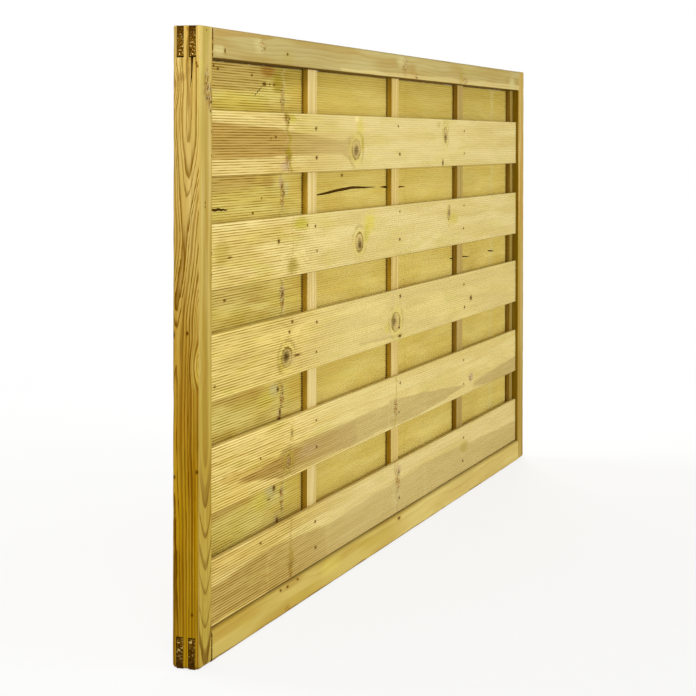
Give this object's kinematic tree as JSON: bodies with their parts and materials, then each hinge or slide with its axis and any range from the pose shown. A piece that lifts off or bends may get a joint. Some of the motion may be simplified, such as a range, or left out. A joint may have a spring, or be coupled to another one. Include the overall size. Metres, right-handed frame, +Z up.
{
  "type": "wooden fence panel",
  "caption": "Low wooden privacy fence panel: a rounded frame with open corner tenons, upright battens, and reeded boards nailed in turn to its front and back.",
  "frame": {"origin": "middle of the left stile's flat outer face, at half the panel's height and half its thickness", "axes": "+X along the panel from the left stile to the right one, +Y from the front to the back, +Z up"},
  "size_m": [1.8, 0.042, 0.9],
  "materials": {
    "frame_wood": "planed, pressure treated",
    "batten_wood": "planed, pressure treated",
    "board_wood": "reeded, pressure treated",
    "nail_steel": "dull, lightly rusted nail heads"
  },
  "bodies": {
    "root": {"left_stile": "frame_wood", "right_stile": "frame_wood", "bottom_rail": "frame_wood", "top_rail": "frame_wood", "left_batten": "batten_wood", "right_batten": "batten_wood", "inner_batten_1": "batten_wood", "inner_batten_2": "batten_wood", "inner_batten_3": "batten_wood", "front_board_1": "board_wood", "front_board_2": "board_wood", "front_board_3": "board_wood", "front_board_4": "board_wood", "front_board_5": "board_wood", "back_board_1": "board_wood", "back_board_2": "board_wood", "back_board_3": "board_wood", "back_board_4": "board_wood", "back_board_5": "board_wood"}
  },
  "joints": []
}
